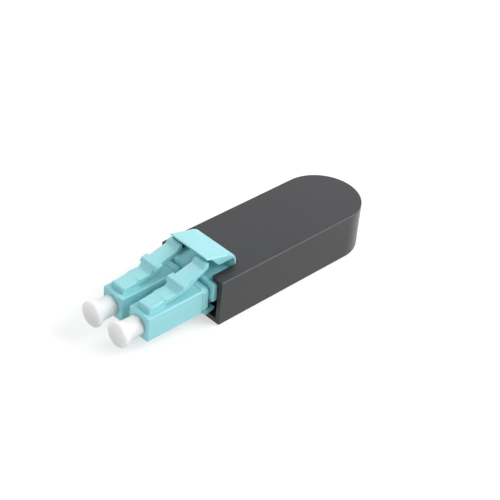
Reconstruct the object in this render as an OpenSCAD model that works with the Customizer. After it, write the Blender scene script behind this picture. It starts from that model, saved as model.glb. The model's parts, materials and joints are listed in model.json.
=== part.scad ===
// Duplex fibre loopback plug. Two spring-loaded ferrule connectors are clipped side by side in a
// closed housing, where one fibre turns the light from the first connector back into the second.
// The connectors face -Y, the round end of the housing faces +Y, and the housing rests on Z = 0.
// Lengths are in millimetres.

/* [Housing] */
// Width of the housing, and the diameter of its round end
housing_w = 14.3; // [14.1:0.1:17]
// Height of the housing
housing_h = 8.4; // [8.2:0.1:10]
// Length of the housing from its mouth to the tip of its round end
housing_l = 36.8; // [34:0.2:60]
// Thickness of the side walls and of the roof
wall = 0.9; // [0.7:0.05:1]
// Thickness of the bottom cover
cover_t = 0.9; // [0.7:0.05:1.2]
// Rounding of the outer edges of the housing
edge_r = 0.2; // [0.1:0.05:0.4]
// Gap between the trigger and the edges of the roof slot that it stands in
slot_gap = 0.2; // [0.1:0.05:0.6]
// Rounding of the corners of the slot
slot_r = 0.4; // [0.2:0.05:0.8]
// Gap between moulded parts that seat in one another
fit_gap = 0.05; // [0.03:0.01:0.08]

/* [Plug bodies] */
// Distance between the two ferrule axes
pitch = 6.25; // [6.1:0.05:6.4]
// Depth of the ferrule axes below the roof of the housing
axis_drop = 3.7; // [3.6:0.05:3.9]
// Width and height of a plug body
plug_w = 4.5; // [4.4:0.05:4.7]
// Length of a plug body
plug_l = 11.3; // [11:0.1:12]
// Distance that the plug faces stand ahead of the mouth
plug_reach = 13.7; // [13.5:0.1:14.5]
// Rounding of the long edges of a plug body
plug_r = 0.2; // [0.1:0.05:0.4]
// Chamfer round the plug faces
plug_chamfer = 0.2; // [0.1:0.05:0.3]
// Diameter of the opening round each ferrule
nose_bore_d = 2.9; // [2.8:0.05:3.1]
// Wall round the spring chamber of a plug body
chamber_wall = 0.5; // [0.4:0.05:0.6]
// Distance from the plug face to the seat of the ferrule holder
seat_run = 4.6; // [4.3:0.1:4.9]
// Thickness of that seat
seat_t = 0.5; // [0.4:0.05:0.7]

/* [Latches] */
// Width of a latch and of its pad
latch_w = 2.8; // [2.4:0.1:3.2]
// Distance from the plug face to the pad
pad_run = 1; // [0.8:0.1:1.6]
// Height of the pad above the plug body, at its front
pad_h = 1.05; // [0.9:0.05:1.2]
// Rounding of the front edge of the pad
pad_r = 0.4; // [0.2:0.05:0.6]
// Rounding of the top edges along a latch and its pad
arm_r = 0.3; // [0.15:0.05:0.45]
// Distance from the plug face to the bending line of the latch
hinge_run = 4.35; // [4:0.05:4.6]
// Thickness of the latch at its bending line
latch_t = 1; // [0.8:0.05:1.1]
// Space between the plug body and the underside of the latch, at the bending line
latch_lift = 0.35; // [0.3:0.05:0.5]
// Distance from the plug face to the shoulders that lock in the adapter
shoulder_run = 6.6; // [6.4:0.1:7]
// Height of the step at the shoulders
shoulder_h = 0.62; // [0.4:0.02:0.8]
// Width over the two ears at the shoulders
ear_w = 4.1; // [3.6:0.1:4.3]
// Length of the ears
ear_l = 1.9; // [1.5:0.1:2.2]
// Height of the ears
ear_h = 0.85; // [0.6:0.05:1]
// Rise of the latch arm for each millimetre behind the shoulders
arm_rise = 0.23; // [0.2:0.01:0.25]
// Distance from the plug face to the tail end of the latch
tail_run = 13; // [12.9:0.05:13.1]
// Thickness of the arm at its tail
tail_t = 0.9; // [0.7:0.05:1]

/* [Trigger] */
// Width of the trigger
trigger_w = 8.8; // [8.4:0.1:8.8]
// Distance that the trigger reaches ahead of the mouth
trigger_reach = 1; // [0.9:0.05:1.1]
// Height of the front edge above the roof of the housing
trigger_h = 3.65; // [3.6:0.05:3.9]
// Thickness of the trigger
trigger_t = 0.5; // [0.45:0.05:0.6]
// Thickness that the trigger thins to at its front edge
trigger_edge_t = 0.3; // [0.25:0.05:0.4]
// Slope of the trigger down towards the rear, in degrees
trigger_slope = 14.4; // [12:0.2:15]
// Radius of the bend at the rear of the trigger
trigger_bend = 2.6; // [2.2:0.1:2.8]
// Distance from the mouth to the hinge bead of the trigger
trigger_run = 5.5; // [5.4:0.05:5.6]
// Diameter of the hinge bead
bead_d = 0.8; // [0.7:0.05:0.85]
// Thickness of the side skirts
skirt_t = 0.6; // [0.4:0.05:0.8]
// Depth of the side skirts below the top of the trigger
skirt_h = 1.15; // [1.1:0.05:1.5]
// Rounding of the side edges along the plate, round the bend and down the leg
trigger_r = 0.35; // [0.15:0.05:0.4]

/* [Duplex clip] */
// Distance that the front rim is narrower than the inside of the housing, at each side
rim_gap = 0.1; // [0.05:0.05:0.5]
// Height of the front rim
rim_h = 3.2; // [3:0.1:3.6]
// Distance that the front rim stands ahead of the mouth
rim_reach = 0.75; // [0.5:0.05:0.8]
// Distance that the two saddles reach into the housing
saddle_l = 4.4; // [4.1:0.1:4.5]
// Wall of a saddle
saddle_wall = 0.85; // [0.7:0.05:0.95]
// Length of the side lugs that lock the clip in the housing
lug_l = 1.8; // [1.5:0.1:2]

/* [Rear bodies] */
// Length of the square collar behind the plug body
collar_l = 1.35; // [1.1:0.05:1.4]
// Rounding of the long edges of the collar
collar_r = 0.8; // [0.3:0.1:1.2]
// Seam between the plug body and the collar
seam = 0.08; // [0.05:0.01:0.12]
// Thickness of the foot below the neck
foot_t = 0.9; // [0.6:0.05:0.95]
// Diameter of the neck that the clip grips
neck_d = 2.8; // [2.7:0.05:2.9]
// Diameter of the flange behind the clip
flange_d = 3.2; // [3:0.05:3.3]
// Thickness of that flange
flange_t = 0.7; // [0.5:0.05:0.9]
// Diameter of the tail that the crimp sleeve closes on
tail_d = 2; // [1.9:0.05:2.1]
// Length of the tail
tail_l = 2.6; // [2.2:0.1:3]
// Length of the snout that enters the plug body
snout_l = 3.2; // [2.8:0.1:3.4]

/* [Ferrules and springs] */
// Diameter of a ferrule
ferrule_d = 1.25; // [1.2:0.01:1.3]
// Length of a ferrule
ferrule_l = 6.5; // [6.2:0.1:6.8]
// Distance that a ferrule tip stands ahead of the plug face
ferrule_proud = 2; // [1.8:0.1:2.2]
// Distance that a ferrule gives way when it meets another
float_travel = 0.8; // [0.4:0.1:1]
// Outer diameter of a spring
spring_d = 2.36; // [2.2:0.02:2.4]
// Diameter of the spring wire
wire_d = 0.28; // [0.2:0.02:0.3]
// Number of turns of a spring
spring_turns = 6; // [4:1:8]

/* [Fibre] */
// Diameter of the coated fibre
fibre_d = 0.9; // [0.8:0.05:0.9]
// Radius at which the fibre swings outwards behind the boots
swing_r = 8; // [6:0.5:10]
// Gap between the loop and the side walls
loop_gap = 0.5; // [0.3:0.1:0.8]
// Length of a strain relief boot
boot_l = 8; // [6:0.5:9]
// Wall of a crimp sleeve
crimp_wall = 0.22; // [0.15:0.01:0.25]

/* [Dust caps] */
// Diameter of the front disc of a dust cap
cap_d = 4.5; // [4.2:0.1:4.7]
// Distance that a dust cap stands ahead of the plug face
cap_reach = 4.3; // [4.1:0.1:5]
// Thickness of the front disc
cap_disc_t = 0.75; // [0.7:0.05:1]
// Rounding of the rims of a dust cap
cap_edge = 0.3; // [0.15:0.05:0.3]
// Diameter of the body of a dust cap
cap_body_d = 3.3; // [3.1:0.1:3.6]
// Gap between the body of a seated dust cap and the plug face
cap_gap = 0.15; // [0.1:0.05:0.5]
// Diameter of the skirt that enters the plug body
cap_skirt_d = 2.5; // [2.3:0.05:2.6]
// Distance that the skirt reaches into the plug body
cap_skirt_run = 1.2; // [0.8:0.1:1.5]

/* [Hidden] */
$fn = 64;
// Small overlap of parts that are fused, and run of a cutter past the faces that it cuts.
eps = 0.01;
over = 1;
left = -1;
right = 1;

// Colours
aqua = [0.55, 0.88, 0.90];
grey_black = [0.20, 0.20, 0.21];
cap_white = [0.96, 0.96, 0.95];
zirconia = [0.93, 0.93, 0.90];
nickel = [0.72, 0.71, 0.68];
steel = [0.60, 0.61, 0.63];

// Lengths along Y are counted from the mouth of the housing. This moves the mouth so that the
// origin lies below the middle of the whole plug.
tip_run = plug_reach + cap_reach;
mouth_y = (tip_run - housing_l) / 2;

// Running gaps between round parts that slide, and between those that turn.
slide_gap = 0.03;
turn_gap = 0.02;

// Housing
cavity_r = housing_w / 2 - wall;
end_y = housing_l - housing_w / 2;
roof_z = housing_h - wall;
rib_t = 0.8;
rib_gap = 0.1;
rib_root = 0.2;
cover_r = cavity_r - fit_gap;
skirt_wall = 0.6;
skirt_rise = 1.8;
skirt_top = cover_t + skirt_rise;
skirt_y = 8;
snap_r = 0.2;
snap_l = 3;
snap_z = skirt_top - 0.5;
snap_rows = [9, 24];
post_w = 0.8;
post_gap = 0.1;
boss_wall = 0.8;
boss_floor = 1;
boss_over = 1;
rest_w = 0.8;
rest_l = 1.4;

// Plug bodies
axis_h = housing_h - axis_drop;
plug_face = -plug_reach;
plug_rear = plug_face + plug_l;
plug_top = axis_h + plug_w / 2;
chamber_r = plug_w / 2 - chamber_wall;
seat_y = plug_face + seat_run;
pad_root = 0.5;

// Latches
hinge_y = plug_face + hinge_run;
hinge_z = plug_top + latch_lift + latch_t / 2;
pad_y = plug_face + pad_run;
shoulder_y = plug_face + shoulder_run;
root_rise = 0.25;
shoulder_z = hinge_z + latch_t / 2 + root_rise;
step_lean = 0.05;
arm_z = shoulder_z + shoulder_h;
root_z = hinge_z + latch_t / 2;
pad_top = plug_top + pad_h;
tail_y = plug_face + tail_run;
ridge_l = 0.5;
ridge_ramp = 0.6;
ridge_h = 0.7;
ridge_slope = 0.15;
ramp_y = tail_y - ridge_l - ridge_ramp;
ramp_z = arm_z + (ramp_y - shoulder_y) * arm_rise;
ear_proud = 0.12;
ear_edge = 0.1;

// Underside of the latch: runs behind the bending line and behind the shoulders, and depths
// below the shoulders.
root_run = 1.25;
root_cut = 0.1;
belly_run = 0.6;
belly_drop = 0.87;
arm_run = 2.2;
arm_drop = 0.42;
tail_cut_run = 0.7;
tail_cut_drop = 0.45;

// Trigger
bead_z = roof_z - bead_d / 2 - 0.05;
trigger_y = -trigger_reach;
trigger_z = housing_h + trigger_h;
leg_y = trigger_run + trigger_t / 2;
bend_y = leg_y - trigger_bend;
bend_start_y = bend_y + trigger_bend * sin(trigger_slope);
bend_start_z = trigger_z - (bend_start_y - trigger_y) * tan(trigger_slope);
bend_z = bend_start_z - trigger_bend * cos(trigger_slope);
skirt_z = bend_start_z - skirt_h;
skirt_start = trigger_y + 0.25;
skirt_low = 2.05;
skirt_back = 1;
skirt_end = leg_y - skirt_back;

// Roof slot
slot_w = trigger_w + 2 * slot_gap;
slot_l = leg_y + slot_gap;

// Duplex clip
clip_top = roof_z - fit_gap;
clip_top_t = 0.8;
rim_w = 2 * (cavity_r - rim_gap);
rim_lap = 0.25;
rim_top = roof_z + rim_lap;
rim_r = 0.5;
saddle_r = neck_d / 2 + saddle_wall;
saddle_open = 0.84 * neck_d;
clip_body_w = pitch + 2 * saddle_r;
lug_y = 2.6;
lug_w = 2 * (cavity_r - fit_gap);
lug_root = 1;
lug_drop = 1.1;
lug_low = axis_h - lug_drop;
trough_front = 0.3;
trough_back = 0.25;
trough_floor = 0.35;
trough_y = trigger_run - bead_d / 2 - trough_front;
trough_end = trigger_run + bead_d / 2 + trough_back;
trough_low = bead_z - bead_d / 2 - trough_floor;
leg_room = 0.2;

// Rear bodies
spring_gap = 0.1;
tube_gap = 0.1;
nose_gap = 0.1;
float_room = 0.5;
collar_y = plug_rear + collar_l;
flange_y = saddle_l + slide_gap;
tail_start = flange_y + flange_t;
tail_end = tail_start + tail_l;
snout_y = plug_rear - snout_l;
snout_r = chamber_r - fit_gap;
pocket_back = 0.2;
pocket_end = plug_rear - pocket_back;
foot_front = collar_y - 0.1;
foot_run = 1.35;
foot_rise = 0.3;
foot_gap = 0.1;
foot_drop = plug_w / 2 + foot_gap + foot_t / 2;
foot_root = 0.5;

// Ferrules and springs
ferrule_y = plug_face - ferrule_proud;
ferrule_end = ferrule_y + ferrule_l;
holder_flange_y = seat_y + seat_t + slide_gap;
holder_flange_t = 1.15;
holder_room = 0.15;
holder_flange_d = 2 * (chamber_r - holder_room);
holder_nose_l = 2.3;
tube_y = holder_flange_y + holder_flange_t;
tube_room = 0.3;
tube_end = pocket_end - tube_room;
tube_d = spring_d - 2 * (wire_d + spring_gap);
holder_wall = 0.375;
nose_d = ferrule_d + 2 * holder_wall;
glue_gap = 0.01;
tip_in = 0.2;
tip_taper = 0.4;
tip_room = 0.3;

// Fibre
fibre_r = fibre_d / 2;
fibre_bore = fibre_r + 0.05;
loop_r = cavity_r - loop_gap - fibre_r;
swing_x = pitch / 2 + swing_r;
swing_angle = acos(swing_x / (swing_r + loop_r));
swing_y = end_y - (swing_r + loop_r) * sin(swing_angle);
fibre_start = ferrule_end + float_travel + 0.1;
guide_r = loop_r - fibre_r - 0.35;
boot_y = tail_start + 0.1;
boot_end = boot_y + boot_l;
crimp_r = tail_d / 2 + slide_gap + crimp_wall;
crimp_end = tail_end - 0.2;
boot_wall = 0.35;
boot_tip_wall = 0.3;
boot_step = 0.3;
boot_rib_w = 0.5;
boot_rib_pitch = 1.2;
boot_ribs = 3;

// Dust caps
cap_front = plug_face - cap_reach;
cap_core = 1;

// ---- Helpers ----

// Moves a part from the mouth of the housing to the origin of the whole plug.
module placed() {
    translate([0, mouth_y, 0])
        children();
}

// Extrudes a section, drawn as (X, Z), along Y.
module along_y(y0, y1) {
    translate([0, y1, 0])
        rotate([90, 0, 0])
            linear_extrude(y1 - y0)
                children();
}

// Extrudes a side profile, drawn as (Y, Z), across a width that is centred on X = 0.
module across_x(width) {
    translate([-width / 2, 0, 0])
        rotate([90, 0, 90])
            linear_extrude(width)
                children();
}

// Revolves a profile, drawn as (radius, Y), about the Y axis.
module turned() {
    rotate([-90, 0, 0])
        rotate_extrude()
            children();
}

// A plain cylinder along Y.
module rod(y0, y1, r) {
    translate([0, y0, 0])
        rotate([-90, 0, 0])
            cylinder(h = y1 - y0, r = r);
}

// A cylinder along X through a point of the side view.
module cross_rod(y, z, r, width) {
    translate([-width / 2, y, z])
        rotate([0, 90, 0])
            cylinder(h = width, r = r);
}

// Moves a part onto the ferrule axis of one connector.
module on_axis(side) {
    placed()
        translate([side * pitch / 2, 0, axis_h])
            children();
}

// Cutters that round the two top edges of a bar, whose top runs from one point of the side view,
// given as [Y, Z], to another.
module edge_cutters(from, to, half_w, r) {
    slope = atan2(to[1] - from[1], to[0] - from[0]);
    for (side = [0, 1])
        mirror([side, 0, 0])
            translate([half_w - r, from[0], from[1]])
                rotate([slope, 0, 0])
                    translate([0, 0, -r])
                        along_y(0, norm(to - from))
                            difference() {
                                square(r + over);
                                circle(r);
                            }
}

// A rectangle with round corners, centred on the origin.
module round_rect(w, h, r) {
    square([w - 2 * r, h], center = true);
    square([w, h - 2 * r], center = true);
    for (x = [-1, 1], z = [-1, 1])
        translate([x * (w / 2 - r), z * (h / 2 - r)])
            circle(r);
}

// Half of the housing section, drawn as (X, Z) from the middle outwards, with a round top edge
// and a round bottom edge.
module half_section(half_w, low, high, r) {
    translate([0, low])
        square([half_w - r, high - low]);
    translate([0, low + r])
        square([half_w, high - low - 2 * r]);
    for (z = [low + r, high - r])
        translate([half_w - r, z])
            circle(r);
}

// Half section of a disc, drawn as (radius, Y), with both rim edges rounded.
module disc_section(r, y0, y1, edge) {
    translate([0, y0])
        square([r - edge, y1 - y0]);
    translate([0, y0 + edge])
        square([r, y1 - y0 - 2 * edge]);
    for (y = [y0 + edge, y1 - edge])
        translate([r - edge, y])
            circle(edge);
}

// A body with straight sides and a full round end, open towards -Y.
module round_ended(half_w, y0, low, high, r) {
    along_y(y0, end_y)
        for (side = [0, 1])
            mirror([side, 0])
                intersection() {
                    half_section(half_w, low, high, r);
                    translate([0, low])
                        square([half_w, high - low]);
                }
    translate([0, end_y, 0])
        rotate_extrude(angle = 180)
            intersection() {
                half_section(half_w, low, high, r);
                translate([0, low])
                    square([half_w, high - low]);
            }
}

// The same form with sharp edges.
module round_ended_plain(half_w, y0, low, high) {
    translate([-half_w, y0, low])
        cube([2 * half_w, end_y - y0, high - low]);
    intersection() {
        translate([0, end_y, low])
            cylinder(h = high - low, r = half_w);
        translate([-half_w, end_y - eps, low])
            cube([2 * half_w, half_w + 2 * eps, high - low]);
    }
}

// ---- Housing ----

// The ridge, or with a gap its groove, that snaps the cover into the shell on one side.
module snap_ridge(side, y, gap) {
    translate([side * (cavity_r - fit_gap), y - gap, snap_z])
        rotate([-90, 0, 0])
            cylinder(h = snap_l + 2 * gap, r = snap_r + gap);
}

// Opening in the roof for the trigger, with its front corners rounded outwards and its rear
// corners rounded inwards.
module trigger_slot() {
    translate([0, 0, roof_z - over])
        linear_extrude(wall + 2 * over)
            difference() {
                union() {
                    translate([0, slot_l / 2 - over])
                        round_rect(slot_w, slot_l + 2 * over, slot_r);
                    translate([-slot_w / 2 - slot_r, -over])
                        square([slot_w + 2 * slot_r, over + slot_r]);
                }
                for (side = [-1, 1])
                    translate([side * (slot_w / 2 + slot_r), slot_r])
                        circle(slot_r);
            }
}

// Ribs on the side walls, which hold the lugs of the clip between them and end beside its saddles.
module lug_ribs() {
    low = cover_t + fit_gap;
    inner = clip_body_w / 2 + rib_gap;
    for (side = [0, 1], y = [lug_y - fit_gap - rib_t, lug_y + lug_l + fit_gap])
        mirror([side, 0, 0])
            translate([inner, y, low])
                cube([cavity_r - inner + rib_root, rib_t, roof_z - low + rib_root]);
}

module housing_shell() {
    color(grey_black)
        placed() {
            difference() {
                round_ended(housing_w / 2, 0, 0, housing_h, edge_r);
                round_ended_plain(cavity_r, -over, -over, roof_z);
                trigger_slot();
                for (side = [-1, 1], y = snap_rows)
                    snap_ridge(side, y, fit_gap);
            }
            lug_ribs();
        }
}

// Low rests, grown from the skirt of the cover, that carry the loop at three places.
module loop_rests() {
    rest_end = cover_r - skirt_wall + rest_w / 8;
    for (angle = [0, 90, 180])
        translate([0, end_y, 0])
            rotate([0, 0, angle])
                translate([rest_end - rest_l, -rest_w / 2, cover_t - eps])
                    cube([rest_l, rest_w, axis_h - fibre_r - fit_gap - cover_t + eps]);
}

module housing_cover() {
    color(grey_black)
        placed() {
            round_ended_plain(cover_r, 0, 0, cover_t);
            difference() {
                round_ended_plain(cover_r, skirt_y, cover_t - eps, skirt_top);
                round_ended_plain(cover_r - skirt_wall, skirt_y - over, cover_t - over, skirt_top + over);
            }
            for (side = [-1, 1], y = snap_rows)
                intersection() {
                    snap_ridge(side, y, 0);
                    translate([-housing_w / 2, 0, 0])
                        cube([housing_w, housing_l, housing_h]);
                }
            for (side = [0, 1])
                mirror([side, 0, 0])
                    translate([cover_r - post_gap - post_w, lug_y + post_gap, cover_t - eps])
                        cube([post_w, lug_l - 2 * post_gap, lug_low - fit_gap - cover_t + eps]);
            translate([0, end_y, cover_t - eps])
                difference() {
                    cylinder(h = axis_h + boss_over - cover_t, r = guide_r);
                    translate([0, 0, boss_floor])
                        cylinder(h = housing_h, r = guide_r - boss_wall);
                }
            loop_rests();
        }
}

// ---- Connectors ----

// Profile of the fixed pad that the latch grows from, with its round front edge.
module pad_profile() {
    polygon([
        [pad_y, plug_top - pad_root],
        [pad_y, pad_top - pad_r],
        [pad_y + pad_r, pad_top],
        [hinge_y, root_z],
        [hinge_y, plug_top - pad_root]
    ]);
    intersection() {
        translate([pad_y + pad_r, pad_top - pad_r])
            circle(pad_r);
        translate([pad_y, plug_top])
            square([pad_r, pad_h]);
    }
}

module plug_body(side) {
    color(aqua)
        placed()
            translate([side * pitch / 2, 0, 0])
                difference() {
                    union() {
                        intersection() {
                            along_y(plug_face, plug_rear)
                                translate([0, axis_h])
                                    round_rect(plug_w, plug_w, plug_r);
                            face_chamfers();
                        }
                        difference() {
                            across_x(latch_w)
                                pad_profile();
                            edge_cutters([pad_y, pad_top], [pad_y + pad_r, pad_top], latch_w / 2, arm_r);
                            edge_cutters([pad_y + pad_r, pad_top], [hinge_y, root_z], latch_w / 2, arm_r);
                        }
                    }
                    translate([0, 0, axis_h]) {
                        rod(plug_face - over, seat_y, nose_bore_d / 2);
                        rod(seat_y - over, plug_rear, nose_d / 2 + nose_gap);
                        rod(seat_y + seat_t, plug_rear + over, chamber_r);
                    }
                    cross_rod(hinge_y, hinge_z, latch_t / 2 + turn_gap, latch_w + over);
                }
}

// Block that trims the four front edges of a plug body.
module face_chamfers() {
    c = plug_chamfer;
    w = plug_w / 2;
    intersection() {
        across_x(plug_w + over)
            translate([0, axis_h])
                polygon([
                    [plug_face, c - w], [plug_face, w - c], [plug_face + c, w],
                    [plug_rear, w], [plug_rear, -w], [plug_face + c, -w]
                ]);
        translate([0, 0, axis_h - plug_w])
            linear_extrude(2 * plug_w)
                polygon([
                    [c - w, plug_face], [w - c, plug_face], [w, plug_face + c],
                    [w, plug_rear], [-w, plug_rear], [-w, plug_face + c]
                ]);
    }
}

// Side profile of the bending latch arm, from its bending line to its tail.
module latch_profile() {
    ridge_z = ramp_z + ridge_h;
    tail_z = ridge_z + ridge_slope;
    polygon([
        [hinge_y, root_z],
        [shoulder_y, shoulder_z],
        [shoulder_y + step_lean, arm_z],
        [ramp_y, ramp_z],
        [ramp_y + ridge_ramp, ridge_z],
        [tail_y, tail_z],
        [tail_y, tail_z - tail_t],
        [tail_y - tail_cut_run, tail_z - tail_t - tail_cut_drop],
        [shoulder_y + arm_run, shoulder_z - arm_drop],
        [shoulder_y + belly_run, shoulder_z - belly_drop],
        [hinge_y + root_run, hinge_z - latch_t / 2 + root_cut],
        [hinge_y, hinge_z - latch_t / 2]
    ]);
}

// The two ears, square at the shoulders and tapered into the arm behind.
module ears() {
    ear_top = arm_z + ear_proud;
    intersection() {
        across_x(ear_w)
            polygon([
                [shoulder_y, ear_top - ear_h],
                [shoulder_y, ear_top - ear_edge],
                [shoulder_y + ear_edge, ear_top],
                [shoulder_y + ear_l, ear_top + ear_l * arm_rise],
                [shoulder_y + ear_l, ear_top - ear_h + ear_l * arm_rise]
            ]);
        linear_extrude(2 * housing_h)
            polygon([
                [-ear_w / 2, shoulder_y], [ear_w / 2, shoulder_y],
                [ear_w / 2, shoulder_y + ear_l / 2], [latch_w / 2, shoulder_y + ear_l],
                [-latch_w / 2, shoulder_y + ear_l], [-ear_w / 2, shoulder_y + ear_l / 2]
            ]);
    }
}

// The round knuckle that the latch turns on, with the same rounding at its two ends.
module knuckle() {
    translate([0, hinge_y, hinge_z])
        rotate([0, 90, 0])
            rotate_extrude()
                disc_section(latch_t / 2, -latch_w / 2, latch_w / 2, min(arm_r, latch_t / 4));
}

module latch(side) {
    color(aqua)
        placed()
            translate([side * pitch / 2, 0, 0]) {
                difference() {
                    across_x(latch_w)
                        latch_profile();
                    edge_cutters([hinge_y, root_z], [shoulder_y, shoulder_z], latch_w / 2, arm_r);
                    edge_cutters([shoulder_y, arm_z], [ramp_y, ramp_z], latch_w / 2, arm_r);
                }
                knuckle();
                ears();
            }
}

// Side profile of the foot: a lip with round ends that slopes up to the rear, and its root below
// the collar.
module foot_profile() {
    r = foot_t / 2;
    length = norm([foot_run, foot_rise]);
    translate([foot_front, -foot_drop]) {
        circle(r);
        rotate(atan2(foot_rise, foot_run)) {
            translate([0, -r])
                square([length, foot_t]);
            translate([length, 0])
                circle(r);
        }
        translate([-r, 0])
            square([foot_root, r + 2 * foot_gap]);
    }
}

// Collar, snout, neck and tail in one piece. The bore takes the ferrule holder and the fibre.
module rear_body(side) {
    color(aqua)
        on_axis(side)
            difference() {
                union() {
                    rod(snout_y, plug_rear + collar_l / 2, snout_r);
                    along_y(plug_rear + seam, collar_y)
                        round_rect(plug_w, plug_w, collar_r);
                    rod(collar_y - eps, flange_y + eps, neck_d / 2);
                    rod(flange_y, tail_start, flange_d / 2);
                    rod(tail_start - eps, tail_end, tail_d / 2);
                    across_x(plug_w - 2 * plug_r)
                        foot_profile();
                }
                rod(snout_y - over, pocket_end, spring_d / 2 + spring_gap);
                rod(snout_y - over, pocket_end + float_travel + float_room, tube_d / 2 + tube_gap);
                rod(snout_y - over, tail_end + over, fibre_bore);
            }
}

module ferrule(side) {
    tip_r = ferrule_d / 2;
    color(zirconia)
        on_axis(side)
            turned()
                polygon([
                    [0, ferrule_y], [tip_r - tip_in, ferrule_y], [tip_r, ferrule_y + tip_taper],
                    [tip_r, ferrule_end], [0, ferrule_end]
                ]);
}

// Metal holder with a hexagonal flange and a rear tube, bored through for the ferrule and fibre.
module ferrule_holder(side) {
    color(nickel)
        on_axis(side)
            difference() {
                union() {
                    rod(holder_flange_y - holder_nose_l, holder_flange_y + eps, nose_d / 2);
                    translate([0, holder_flange_y, 0])
                        rotate([-90, 0, 0])
                            cylinder(h = holder_flange_t, d = holder_flange_d, $fn = 6);
                    rod(tube_y - eps, tube_end, tube_d / 2);
                }
                rod(ferrule_y, ferrule_end + glue_gap, ferrule_d / 2 + glue_gap);
                rod(ferrule_y, tube_end + over, fibre_bore);
            }
}

// One point of the round wire section, at a turn of the coil and an angle round the wire.
function coil_point(turn, around, y0, y1) =
    let (
        r = (spring_d - wire_d) / 2 + wire_d / 2 * cos(around),
        y = y0 + (y1 - y0) * turn / spring_turns + wire_d / 2 * sin(around)
    ) [r * cos(360 * turn), y, r * sin(360 * turn)];

// Coil spring: a wire section of six points swept round the turns.
module ferrule_spring(side) {
    steps = 20;
    corners = 6;
    rings = spring_turns * steps;
    first = tube_y + slide_gap + wire_d / 2;
    last = pocket_end - slide_gap - wire_d / 2;
    points = [
        for (i = [0:rings], k = [0:corners - 1])
            coil_point(i / steps, 360 * k / corners, first, last)
    ];
    skin = [
        for (i = [0:rings - 1], k = [0:corners - 1])
            let (a = i * corners + k, b = i * corners + (k + 1) % corners)
                [a, a + corners, b + corners, b]
    ];
    ends = [
        [for (k = [0:corners - 1]) k],
        [for (k = [corners - 1:-1:0]) rings * corners + k]
    ];
    color(steel)
        on_axis(side)
            polyhedron(points, concat(skin, ends));
}

module crimp_sleeve(side) {
    color(nickel)
        on_axis(side)
            difference() {
                rod(boot_y, crimp_end, crimp_r);
                rod(boot_y - over, tail_end + over, tail_d / 2 + slide_gap);
            }
}

// Strain relief boot: a stepped collar over the crimp sleeve and a slender taper on the fibre.
module boot(side) {
    outer_r = crimp_r + boot_wall;
    end_r = fibre_r + boot_tip_wall;
    step_y = tail_end + boot_step;
    taper_y = step_y + 2 * boot_step;
    color(aqua)
        on_axis(side)
            difference() {
                turned() {
                    polygon([
                        [0, boot_y], [outer_r, boot_y], [outer_r, step_y],
                        [outer_r - boot_step, taper_y], [end_r, boot_end], [0, boot_end]
                    ]);
                    for (i = [1:boot_ribs])
                        translate([0, taper_y + i * boot_rib_pitch - boot_rib_w])
                            square([outer_r - boot_step / 2 * i, boot_rib_w]);
                }
                rod(boot_y - over, tail_end, crimp_r + slide_gap);
                rod(boot_y - over, boot_end + over, fibre_r + slide_gap);
            }
}

// Centre line of the fibre on the right of the middle, from the boot back to the far end of the
// turn: a swing outwards about a centre outside, then a quarter of the turn about a centre inside.
function half_route(steps) = concat(
    [[pitch / 2, fibre_start], [pitch / 2, boot_end]],
    [for (i = [0:steps])
        let (a = 180 - swing_angle * i / steps)
            [swing_x + swing_r * cos(a), swing_y + swing_r * sin(a)]],
    [for (i = [1:2 * steps])
        let (a = -swing_angle + (90 + swing_angle) * i / (2 * steps))
            [loop_r * cos(a), end_y + loop_r * sin(a)]]
);

// The whole centre line, from one connector round to the other.
function route(steps) = let (half = half_route(steps), n = len(half)) concat(
    half,
    [for (i = [n - 2:-1:0]) [-half[i][0], half[i][1]]]
);

// Heading of the route at one point, halfway between its two neighbours.
function heading(path, i) = let (
        a = path[max(i - 1, 0)],
        b = path[min(i + 1, len(path) - 1)]
    ) (b - a) / norm(b - a);

// The fibre: one tube swept along the route, level all the way.
module fibre_loop() {
    sides = 12;
    path = route(8);
    n = len(path);
    points = [
        for (i = [0:n - 1], k = [0:sides - 1])
            let (h = heading(path, i), a = 360 * k / sides, out = fibre_r * cos(a))
                [path[i][0] + h[1] * out, path[i][1] - h[0] * out, axis_h + fibre_r * sin(a)]
    ];
    skin = [
        for (i = [0:n - 2], k = [0:sides - 1])
            let (a = i * sides + k, b = i * sides + (k + 1) % sides)
                [b, b + sides, a + sides, a]
    ];
    ends = [
        [for (k = [sides - 1:-1:0]) k],
        [for (k = [0:sides - 1]) (n - 1) * sides + k]
    ];
    color(aqua)
        placed()
            polyhedron(points, concat(skin, ends));
}

// Dust cap: a grip disc flared into the body, and a skirt that slips over the ferrule.
module dust_cap(side) {
    body_end = plug_face - cap_gap;
    skirt_end_y = plug_face + cap_skirt_run;
    flare_r = (cap_d - cap_body_d) / 2;
    disc_y = cap_front + cap_disc_t;
    color(cap_white)
        on_axis(side)
            difference() {
                turned()
                    difference() {
                        union() {
                            disc_section(cap_d / 2, cap_front, disc_y + flare_r, cap_edge);
                            disc_section(cap_body_d / 2, cap_front + cap_edge, body_end, cap_edge);
                            translate([0, cap_front + cap_core])
                                square([cap_skirt_d / 2, skirt_end_y - cap_front - cap_core]);
                        }
                        translate([cap_d / 2, disc_y + flare_r])
                            circle(flare_r);
                    }
                rod(ferrule_y - tip_room, skirt_end_y + over, ferrule_d / 2 + slide_gap);
            }
}

// ---- Duplex clip and trigger ----

// One saddle that snaps over a neck from above, open at the bottom.
module saddle(side) {
    saddle_y = -fit_gap - eps;
    translate([side * pitch / 2, 0, axis_h]) {
        rod(saddle_y, saddle_l, saddle_r);
        translate([-saddle_r, saddle_y, 0])
            cube([2 * saddle_r, saddle_l - saddle_y, clip_top - axis_h]);
    }
}

// The side lug that locks the clip between the ribs of the housing, on the right side.
module lug() {
    inner = clip_body_w / 2 - lug_root;
    translate([inner, lug_y, lug_low])
        cube([lug_w / 2 - inner, lug_l, clip_top - lug_low]);
}

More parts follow.
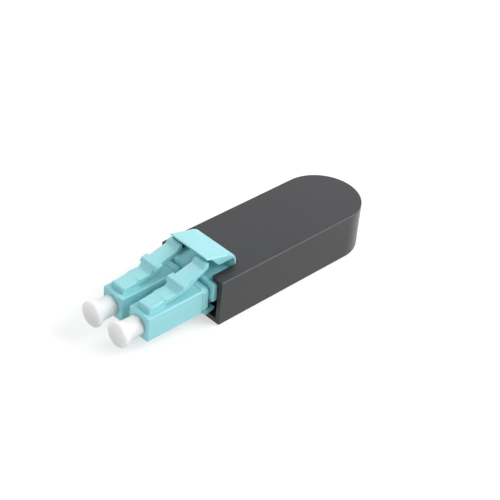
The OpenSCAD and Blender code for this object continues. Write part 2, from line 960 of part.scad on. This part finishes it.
module duplex_clip() {
    color(aqua)
        placed()
            difference() {
                union() {
                    along_y(-rim_reach, -fit_gap)
                        intersection() {
                            translate([0, rim_top - rim_w / 2])
                                round_rect(rim_w, rim_w, rim_r);
                            translate([-rim_w / 2, rim_top - rim_h])
                                square([rim_w, rim_h]);
                        }
                    translate([-clip_body_w / 2, -fit_gap - eps, clip_top - clip_top_t])
                        cube([clip_body_w, trigger_run, clip_top_t]);
                    translate([-trigger_w / 2, trough_y, trough_low])
                        cube([trigger_w, trough_end - trough_y, bead_z - trough_low]);
                    for (side = [-1, 1])
                        saddle(side);
                    for (side = [0, 1])
                        mirror([side, 0, 0])
                            lug();
                }
                for (side = [-1, 1])
                    translate([side * pitch / 2, 0, axis_h]) {
                        rod(-rim_reach - over, saddle_l + over, neck_d / 2 + slide_gap);
                        translate([-saddle_open / 2, -rim_reach - over, -plug_w])
                            cube([saddle_open, rim_reach + saddle_l + 2 * over, plug_w]);
                    }
                bead_clearance();
            }
}

// Room for the hinge bead and for the leg of the trigger as it leans forward.
module bead_clearance() {
    cross_rod(trigger_run, bead_z, bead_d / 2 + turn_gap, trigger_w + over);
    translate([-trigger_w / 2 - leg_room, trough_y, bead_z])
        cube([trigger_w + 2 * leg_room, trough_end - trough_y + over, housing_h]);
}

// Side profile of the plate, its rear bend and the leg down to the hinge bead.
module trigger_profile() {
    t = trigger_t;
    polygon([
        [trigger_y, trigger_z],
        [bend_start_y, bend_start_z],
        [bend_start_y - t * sin(trigger_slope), bend_start_z - t * cos(trigger_slope)],
        [trigger_y, trigger_z - trigger_edge_t]
    ]);
    intersection() {
        difference() {
            translate([bend_y, bend_z])
                circle(trigger_bend);
            translate([bend_y, bend_z])
                circle(trigger_bend - t);
        }
        polygon([
            [bend_y, bend_z],
            [bend_y + 2 * trigger_bend, bend_z],
            [bend_y + 2 * trigger_bend, bend_z + 2 * trigger_bend],
            [bend_y + 2 * trigger_bend * sin(trigger_slope), bend_z + 2 * trigger_bend * cos(trigger_slope)]
        ]);
    }
    translate([leg_y - t, bead_z])
        square([t, bend_z - bead_z + eps]);
    translate([trigger_run, bead_z])
        circle(bead_d / 2);
}

// Side profile of a skirt: its lower edge swings down from under the front of the plate, in an
// S curve, to a flat bottom that runs back to the bend.
module skirt_profile() {
    plate_z = trigger_z - (skirt_start - trigger_y) * tan(trigger_slope) - trigger_edge_t / 2;
    mid_z = (plate_z + skirt_z) / 2;
    polygon([
        for (a = [0:10:180])
            [skirt_start + (skirt_low - skirt_start) * a / 180, mid_z + (plate_z - mid_z) * cos(a)],
        [skirt_end, skirt_z],
        [skirt_end, bend_start_z - trigger_t],
        [bend_start_y, bend_start_z - trigger_t / 2]
    ]);
}

// Section of the cutter that rounds an outer edge of the trigger. The edge lies at the origin,
// with the trigger to its lower left.
module edge_section() {
    translate([-trigger_r, -trigger_r])
        difference() {
            square(trigger_r + over);
            circle(trigger_r);
        }
}

// Cutters that round both side edges of the trigger along the plate, the bend and the leg.
module trigger_edges() {
    lead = [trigger_y - over, trigger_z + over * tan(trigger_slope)];
    edge_cutters(lead, [bend_start_y, bend_start_z], trigger_w / 2, trigger_r);
    for (side = [0, 1])
        mirror([side, 0, 0]) {
            translate([0, bend_y, bend_z])
                rotate([90, 0, 90])
                    rotate_extrude(angle = 90 - trigger_slope)
                        translate([trigger_bend, trigger_w / 2])
                            edge_section();
            translate([trigger_w / 2, leg_y, roof_z])
                linear_extrude(bend_z - roof_z)
                    edge_section();
        }
}

module trigger() {
    color(aqua)
        placed()
            difference() {
                union() {
                    across_x(trigger_w)
                        trigger_profile();
                    for (side = [-1, 1])
                        translate([side * (trigger_w - skirt_t) / 2, 0, 0])
                            across_x(skirt_t)
                                skirt_profile();
                }
                trigger_edges();
            }
}

housing_shell();
housing_cover();
duplex_clip();
trigger();
plug_body(left);  // plug_body_left
plug_body(right);  // plug_body_right
latch(left);  // latch_left
latch(right);  // latch_right
rear_body(left);  // rear_body_left
rear_body(right);  // rear_body_right
ferrule(left);  // ferrule_left
ferrule(right);  // ferrule_right
ferrule_holder(left);  // ferrule_holder_left
ferrule_holder(right);  // ferrule_holder_right
ferrule_spring(left);  // ferrule_spring_left
ferrule_spring(right);  // ferrule_spring_right
crimp_sleeve(left);  // crimp_sleeve_left
crimp_sleeve(right);  // crimp_sleeve_right
boot(left);  // boot_left
boot(right);  // boot_right
fibre_loop();
dust_cap(left);  // dust_cap_left
dust_cap(right);  // dust_cap_right
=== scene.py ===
"""Looks of the duplex fibre loopback plug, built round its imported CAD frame.

Blender's unit is the metre. Sizes of the part are written in millimetres and multiplied by MM.
"""

import json
import math

import bmesh
import bpy
from mathutils import Matrix, Vector


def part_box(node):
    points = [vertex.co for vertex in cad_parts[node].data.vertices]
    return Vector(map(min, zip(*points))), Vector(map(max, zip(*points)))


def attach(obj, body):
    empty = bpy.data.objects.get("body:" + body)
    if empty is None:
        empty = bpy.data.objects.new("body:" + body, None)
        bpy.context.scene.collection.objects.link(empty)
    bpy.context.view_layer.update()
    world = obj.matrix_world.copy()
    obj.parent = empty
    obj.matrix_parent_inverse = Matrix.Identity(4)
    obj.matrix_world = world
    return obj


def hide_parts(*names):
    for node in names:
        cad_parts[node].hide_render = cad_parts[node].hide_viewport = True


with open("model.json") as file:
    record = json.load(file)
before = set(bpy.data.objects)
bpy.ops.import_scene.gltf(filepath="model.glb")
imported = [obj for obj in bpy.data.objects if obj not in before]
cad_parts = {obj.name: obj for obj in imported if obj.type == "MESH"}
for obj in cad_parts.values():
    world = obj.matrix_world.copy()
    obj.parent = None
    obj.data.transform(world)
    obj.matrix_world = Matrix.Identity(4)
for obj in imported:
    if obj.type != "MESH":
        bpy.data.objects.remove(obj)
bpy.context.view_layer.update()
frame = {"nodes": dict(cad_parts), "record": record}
nodes = frame["nodes"]
scene = bpy.context.scene
MM = 0.001


def direction(azimuth, elevation):
    """Unit vector that points away from the part, azimuth 0 being its front (-Y), in degrees."""
    a, e = math.radians(azimuth), math.radians(elevation)
    return Vector((math.sin(a) * math.cos(e), -math.cos(a) * math.cos(e), math.sin(e)))


# ---- camera ----

def photo_camera(anchor, azimuth, elevation, roll, distance, right, up, lens):
    """Camera that looks towards anchor, rolled about its own axis and shifted in its own plane."""
    r = math.radians(roll)
    back = direction(azimuth, elevation)
    level = (-back).cross(Vector((0, 0, 1))).normalized()
    upright = level.cross(-back)
    x = level * math.cos(r) + upright * math.sin(r)
    y = upright * math.cos(r) - level * math.sin(r)
    cam = bpy.data.objects.new("camera", bpy.data.cameras.new("camera"))
    cam.data.sensor_width = 36
    cam.data.lens = lens
    cam.data.clip_start, cam.data.clip_end = 0.01, 20
    place = Matrix((x, y, back)).transposed().to_4x4()
    place.translation = anchor + x * right + y * up + back * distance
    cam.matrix_world = place
    scene.collection.objects.link(cam)
    scene.camera = cam


mouth_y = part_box("housing_shell")[0].y
photo_camera(
    anchor=Vector((0, mouth_y + 10 * MM, 0)), azimuth=42.79, elevation=36.43, roll=5.57,
    distance=235.87 * MM, right=2.724 * MM, up=4.981 * MM, lens=101.87,
)


# ---- materials ----

NOISE_SPAN = (0.3, 0.7)     # the part of 0 to 1 that the noise nodes mostly fill


class Nodes:
    """A node material with one Principled shader, and short calls for the nodes that feed it."""

    def __init__(self, name, **values):
        """The keywords are socket names of the shader, with _ for a space."""
        self.mat = bpy.data.materials.new(name)
        self.mat.use_nodes = True
        self.tree = self.mat.node_tree
        self.shader = self.tree.nodes["Principled BSDF"]
        for socket, value in values.items():
            self.shader.inputs[socket.replace("_", " ")].default_value = value
        coords = self.add("ShaderNodeTexCoord")
        scale = self.add("ShaderNodeVectorMath", operation="SCALE")
        self.link(coords.outputs["Object"], scale.inputs[0])
        scale.inputs["Scale"].default_value = 1 / MM
        self.mm = scale.outputs["Vector"]

    def add(self, kind, **settings):
        n = self.tree.nodes.new(kind)
        for k, v in settings.items():
            setattr(n, k, v)
        return n

    def link(self, a, b):
        self.tree.links.new(a, b)

    def noise(self, size, detail=2, rough=0.5, stretch=(1, 1, 1)):
        """Noise with features of about size millimetres, drawn out along the axes in stretch."""
        place = self.add("ShaderNodeVectorMath", operation="MULTIPLY")
        place.inputs[1].default_value = [1 / (size * s) for s in stretch]
        self.link(self.mm, place.inputs[0])
        n = self.add("ShaderNodeTexNoise")
        n.inputs["Scale"].default_value = 1
        n.inputs["Detail"].default_value = detail
        n.inputs["Roughness"].default_value = rough
        self.link(place.outputs[0], n.inputs["Vector"])
        return n.outputs["Fac"]

    def spread(self, noise, to_low, to_high):
        """Noise spread over the values from to_low to to_high."""
        n = self.add("ShaderNodeMapRange")
        limits = ("From Min", "From Max", "To Min", "To Max")
        for socket, v in zip(limits, (*NOISE_SPAN, to_low, to_high)):
            n.inputs[socket].default_value = v
        self.link(noise, n.inputs["Value"])
        return n.outputs["Result"]

    def mix(self, factor, a, b):
        """A colour between the colours a and b."""
        n = self.add("ShaderNodeMix", data_type="RGBA")
        factor_in, a_in, b_in = n.inputs[0], n.inputs[6], n.inputs[7]
        self.link(factor, factor_in)
        a_in.default_value = (*a, 1)
        b_in.default_value = (*b, 1)
        return n.outputs[2]

    def set(self, socket, value):
        self.link(value, self.shader.inputs[socket])

    def surface(self, heights, edge):
        """Edges softened to the radius edge, under the bumps in heights: (value, depth)."""
        bevel = self.add("ShaderNodeBevel", samples=6)
        bevel.inputs["Radius"].default_value = edge * MM
        normal = bevel.outputs[0]
        for value, depth in heights:
            bump = self.add("ShaderNodeBump")
            bump.inputs["Strength"].default_value = 1
            bump.inputs["Distance"].default_value = depth * MM
            self.link(value, bump.inputs["Height"])
            self.link(normal, bump.inputs["Normal"])
            normal = bump.outputs[0]
        self.set("Normal", normal)


def moulded(name, colour, roughness, grain, tone, edge=0.03, **values):
    """Moulded plastic: faint flow tones in its colour, slightly uneven gloss and a fine grain.

    grain is the depth of the bumps and edge the radius of the edges, in millimetres, and tone
    the share by which the colour gets darker and lighter."""
    m = Nodes(name, **values)
    flow = m.noise(2.6, 3, 0.55, (1, 2.5, 1))
    gloss = m.noise(0.18, 2, 0.6)
    dark = [c * (1 - tone) for c in colour]
    light = [min(1, c * (1 + tone)) for c in colour]
    m.set("Base Color", m.mix(m.spread(flow, 0, 1), dark, light))
    m.set("Roughness", m.spread(gloss, roughness - 0.015, roughness + 0.02))
    m.surface([(m.noise(0.12, 2, 0.6), grain), (flow, grain * 3)], edge)
    return m.mat


def metal(name, colour, roughness, stretch=(1, 1, 1)):
    """Plated or drawn metal with fine lines along the axis that stretch draws out."""
    m = Nodes(name, Metallic=1.0)
    lines = m.noise(0.05, 3, 0.6, stretch)
    m.set("Base Color", m.mix(lines, [c * 0.9 for c in colour], colour))
    m.set("Roughness", m.spread(lines, roughness - 0.06, roughness + 0.08))
    m.surface([(lines, 0.001)], edge=0.02)
    return m.mat


aqua = dict(
    colour=(0.29, 0.67, 0.71), grain=0.0008, tone=0.03, Specular_IOR_Level=0.8,
    Subsurface_Weight=0.25, Subsurface_Radius=(0.25, 0.8, 0.8), Subsurface_Scale=0.6 * MM,
)
finishes = {
    "housing_plastic": moulded(
        "housing_plastic", (0.029, 0.030, 0.0325), roughness=0.31, grain=0.0004, tone=0.03,
        edge=0.07, Specular_IOR_Level=0.40,
    ),
    "aqua_plastic": moulded("aqua_plastic", roughness=0.48, edge=0.06, **aqua),
    "boot_rubber": moulded(
        "boot_rubber", (0.22, 0.60, 0.63), roughness=0.65, grain=0.003, tone=0.04,
    ),
    "fibre_jacket": moulded(
        "fibre_jacket", (0.22, 0.62, 0.65), roughness=0.35, grain=0.001, tone=0.02,
    ),
    "cap_plastic": moulded(
        "cap_plastic", (0.955, 0.95, 0.94), roughness=0.42, grain=0.001, tone=0.015,
        Subsurface_Weight=0.8, Subsurface_Radius=(1.0, 0.95, 0.9), Subsurface_Scale=4.5 * MM,
    ),
    "zirconia": moulded(
        "zirconia", (0.83, 0.82, 0.78), roughness=0.12, grain=0.0002, tone=0.01, IOR=2.1,
    ),
    "nickel_brass": metal("nickel_brass", (0.68, 0.66, 0.60), roughness=0.28),
    "spring_steel": metal("spring_steel", (0.55, 0.56, 0.58), roughness=0.3, stretch=(1, 8, 1)),
}
# The trigger's own: a little glossier, and rounder at its rear bend.
trigger_finish = moulded("aqua_soft", roughness=0.42, edge=0.16, **aqua)

slot_of = {p["node"]: p["material_slot"] for p in frame["record"]["subparts"]}
for name, obj in nodes.items():
    obj.data.materials.clear()
    obj.data.materials.append(finishes[slot_of[name]])
nodes["trigger"].data.materials[0] = trigger_finish


# ---- shapes made here in the place of CAD nodes ----

def linked(name, mesh):
    obj = bpy.data.objects.new(name, mesh)
    scene.collection.objects.link(obj)
    return obj


def object_of(name, bm):
    """The object of the bmesh bm, which is freed."""
    mesh = bpy.data.meshes.new(name)
    bm.to_mesh(mesh)
    bm.free()
    return linked(name, mesh)


def finish_mesh(obj):
    """Puts the modifiers of obj into its mesh and shades it smooth over the rounded edges."""
    seen = obj.evaluated_get(bpy.context.evaluated_depsgraph_get())
    obj.data = bpy.data.meshes.new_from_object(seen)
    obj.modifiers.clear()
    obj.data.shade_smooth()
    obj.data.set_sharp_from_angle(angle=math.radians(40))


def stand_in(obj, node, slot):
    """Shows obj in the place of the CAD node, in its material slot and on its body."""
    obj.data.materials.clear()
    obj.data.materials.append(finishes[slot])
    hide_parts(node)
    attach(obj, node)


# ---- latches ----

def bevelled(name, outline, half_w, wide, narrow, wide_edges=()):
    """A slab with the side outline given as (y, z) in millimetres. The side edges numbered in
    wide_edges get the wide rounding, and every other sharp edge the narrow one."""
    n = len(outline)
    bm = bmesh.new()
    rows = [
        [bm.verts.new((x * MM, y * MM, z * MM)) for y, z in outline] for x in (-half_w, half_w)
    ]
    bm.faces.new(rows[0])
    bm.faces.new(rows[1])
    for i in range(n):
        j = (i + 1) % n
        bm.faces.new([rows[0][i], rows[0][j], rows[1][j], rows[1][i]])
    bmesh.ops.recalc_face_normals(bm, faces=bm.faces)
    weight = bm.edges.layers.float.new("bevel_weight_edge")
    for e in bm.edges:
        e[weight] = narrow / wide if e.calc_face_angle(0) > math.radians(25) else 0
    for row in rows:
        for i in wide_edges:
            bm.edges.get((row[i], row[i + 1]))[weight] = 1
    obj = object_of(name, bm)
    bevel = obj.modifiers.new("edges", "BEVEL")
    bevel.width, bevel.segments, bevel.limit_method = wide * MM, 3, "WEIGHT"
    return obj


def latch(side):
    """Bending arm with a leaning step, two ears at the top of the step and a raised tail.
    Its y and z start at the axis of the knuckle, at the front."""
    node = "latch_" + side
    low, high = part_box(node)
    knuckle_r = 0.5
    foot_y = 2.05                       # where the step starts to rise
    step_y, step_z = 3.1, 1.57          # the top of the step
    tail_y = 8.65                       # the rear end
    knuckle = [
        (knuckle_r * math.cos(math.radians(a)), knuckle_r * math.sin(math.radians(a)))
        for a in range(270, 90, -20)
    ]
    top = [
        (0, knuckle_r), (foot_y, knuckle_r), (step_y, step_z),
        (7.55, 2.56), (8.15, 3.25), (tail_y, 3.4),
    ]
    under = [(tail_y, 2.5), (7.95, 2.06), (4.45, 0.33), (2.85, -0.12), (1.25, -0.4)]
    first = len(knuckle)
    arm = bevelled(
        node + "_arm", knuckle + top + under, half_w=1.4, wide=0.28, narrow=0.09,
        wide_edges=range(first, first + len(top) - 1),
    )

    ear_front = step_y - 0.02
    ear_back = ear_front + 1.1
    ear_top, ear_low = step_z + 0.08, step_z - 0.6
    lean = 0.46                         # of the ears' front, which follows the step
    rise = 1.1 * 0.23                   # of the ears over their length, as the arm rises
    ears = bevelled(node + "_ears", [
        (ear_front, ear_top), (ear_back, ear_top + rise),
        (ear_back, ear_low + rise), (ear_front - lean, ear_low),
    ], half_w=1.95, wide=0.16, narrow=0.16)

    finish_mesh(arm)
    finish_mesh(ears)
    join = arm.modifiers.new("ears", "BOOLEAN")
    join.operation, join.solver, join.object = "UNION", "EXACT", ears
    finish_mesh(arm)
    bpy.data.objects.remove(ears)
    arm.location = ((low.x + high.x) / 2, low.y + knuckle_r * MM, low.z + knuckle_r * MM)
    stand_in(arm, node, "aqua_plastic")


latch("left")
latch("right")


# ---- dust caps ----

def turned(name, outline, steps):
    """A solid turned about the y axis from (radius, y) in millimetres, from pole to pole."""
    bm = bmesh.new()
    rings = []
    for radius, y in outline:
        angles = [2 * math.pi * i / steps for i in range(steps if radius else 1)]
        rings.append([bm.verts.new((
            radius * MM * math.cos(a), y * MM, radius * MM * math.sin(a),
        )) for a in angles])
    for a, b in zip(rings, rings[1:]):
        for i in range(steps):
            j = (i + 1) % steps
            corners = [a[i % len(a)], a[j % len(a)], b[j % len(b)], b[i % len(b)]]
            bm.faces.new(list(dict.fromkeys(corners)))      # a triangle at a pole
    bmesh.ops.recalc_face_normals(bm, faces=bm.faces)
    return object_of(name, bm)


def dust_cap(side):
    """Cap with a rounded disc, a long flare, a body that ends at the plug's face, and a hollow
    spigot that goes over the ferrule into the plug. Its y starts at the front of the disc."""
    node = "dust_cap_" + side
    low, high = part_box(node)
    spigot_l = 1.2
    face = (high.y - low.y) / MM - spigot_l
    shoulder = face - 0.04              # leaves a gap to the plug's face
    disc_r, spigot_r, bore_r = 2.25, 1.25, 0.66
    bore_end = 1.9
    disc = [
        (0, 0), (1.9, 0), (2.08, 0.05), (2.2, 0.15),
        (disc_r, 0.3), (disc_r, 0.45), (2.21, 0.6), (2.1, 0.76),
    ]
    flare = [(1.97, 0.96), (1.87, 1.2), (1.79, 1.5), (1.74, 1.85), (1.71, 2.3)]
    body = [(1.7, face - 0.2), (1.68, face - 0.09), (1.62, shoulder)]
    spigot = [
        (spigot_r, shoulder), (spigot_r, face + spigot_l - 0.1), (spigot_r - 0.1, face + spigot_l),
    ]
    bore = [(bore_r, face + spigot_l), (bore_r, bore_end), (0, bore_end)]
    cap = turned(node + "_turned", disc + flare + body + spigot + bore, steps=96)
    finish_mesh(cap)
    cap.location = ((low.x + high.x) / 2, low.y, (low.z + high.z) / 2)
    stand_in(cap, node, "cap_plastic")


dust_cap("left")
dust_cap("right")


# ---- floor and light ----

def floor_material():
    """White paper that keeps the shadow, and lets a camera below it look up through it."""
    m = Nodes("floor_paper", Roughness=0.9)
    m.set("Base Color", m.mix(m.noise(3, 4), (0.54, 0.54, 0.54), (0.57, 0.57, 0.57)))
    path = m.add("ShaderNodeLightPath")
    seen = m.add("ShaderNodeMath", operation="MAXIMUM")
    m.link(path.outputs["Is Camera Ray"], seen.inputs[0])
    m.link(path.outputs["Is Glossy Ray"], seen.inputs[1])
    strength = m.add("ShaderNodeMath", operation="MULTIPLY")
    strength.inputs[1].default_value = 0.53
    m.link(seen.outputs[0], strength.inputs[0])
    glow = m.add("ShaderNodeEmission")
    m.link(strength.outputs[0], glow.inputs["Strength"])
    paper = m.add("ShaderNodeAddShader")
    m.link(m.shader.outputs[0], paper.inputs[0])
    m.link(glow.outputs[0], paper.inputs[1])
    clear = m.add("ShaderNodeBsdfTransparent")
    face = m.add("ShaderNodeNewGeometry")
    by_face = m.add("ShaderNodeMixShader")
    m.link(face.outputs["Backfacing"], by_face.inputs[0])
    m.link(paper.outputs[0], by_face.inputs[1])
    m.link(clear.outputs[0], by_face.inputs[2])
    m.link(by_face.outputs[0], m.tree.nodes["Material Output"].inputs["Surface"])
    return m.mat


half = 0.5
mesh = bpy.data.meshes.new("floor")
mesh.from_pydata(
    [(-half, -half, 0), (half, -half, 0), (half, half, 0), (-half, half, 0)], [], [(0, 1, 2, 3)],
)
mesh.materials.append(floor_material())
floor = linked("floor", mesh)
floor.location.z = -0.02 * MM

LAMP_DISTANCE = 0.6


def softbox(name, azimuth, elevation, size, power):
    """A round lamp of size metres and power watts that faces the part."""
    way = direction(azimuth, elevation)
    lamp = linked(name, bpy.data.lights.new(name, "AREA"))
    lamp.data.shape = "DISK"
    lamp.data.size = size
    lamp.data.energy = power
    lamp.location = way * LAMP_DISTANCE
    lamp.rotation_mode = "QUATERNION"
    lamp.rotation_quaternion = way.to_track_quat("Z", "Y")


softbox("key", azimuth=133, elevation=31, size=0.55, power=3.7)
softbox("rear", azimuth=155, elevation=52, size=0.6, power=0.9)
softbox("left", azimuth=272, elevation=40, size=0.4, power=1.9)
softbox("front", azimuth=20, elevation=25, size=0.4, power=1.2)
softbox("rim", azimuth=214, elevation=12, size=0.2, power=0.14)


def studio(seen, lit):
    """White surroundings of the strength seen where they are looked at, mirrored or seen
    through a piece, and of the strength lit where they light the part."""
    world = bpy.data.worlds.new("studio")
    world.use_nodes = True
    tree = world.node_tree
    background = tree.nodes["Background"]
    background.inputs["Color"].default_value = (1, 1, 1, 1)
    path = tree.nodes.new("ShaderNodeLightPath")
    either, any_of = (tree.nodes.new("ShaderNodeMath") for _ in range(2))
    either.operation = any_of.operation = "MAXIMUM"
    strength = tree.nodes.new("ShaderNodeMapRange")
    strength.inputs["To Min"].default_value = lit
    strength.inputs["To Max"].default_value = seen
    for source, target in (
        (path.outputs["Is Camera Ray"], either.inputs[0]),
        (path.outputs["Is Glossy Ray"], either.inputs[1]),
        (either.outputs[0], any_of.inputs[0]),
        (path.outputs["Is Transmission Ray"], any_of.inputs[1]),
        (any_of.outputs[0], strength.inputs["Value"]),
        (strength.outputs["Result"], background.inputs["Strength"]),
    ):
        tree.links.new(source, target)
    scene.world = world


studio(seen=1.0, lit=0.05)
scene.view_settings.view_transform = "Standard"
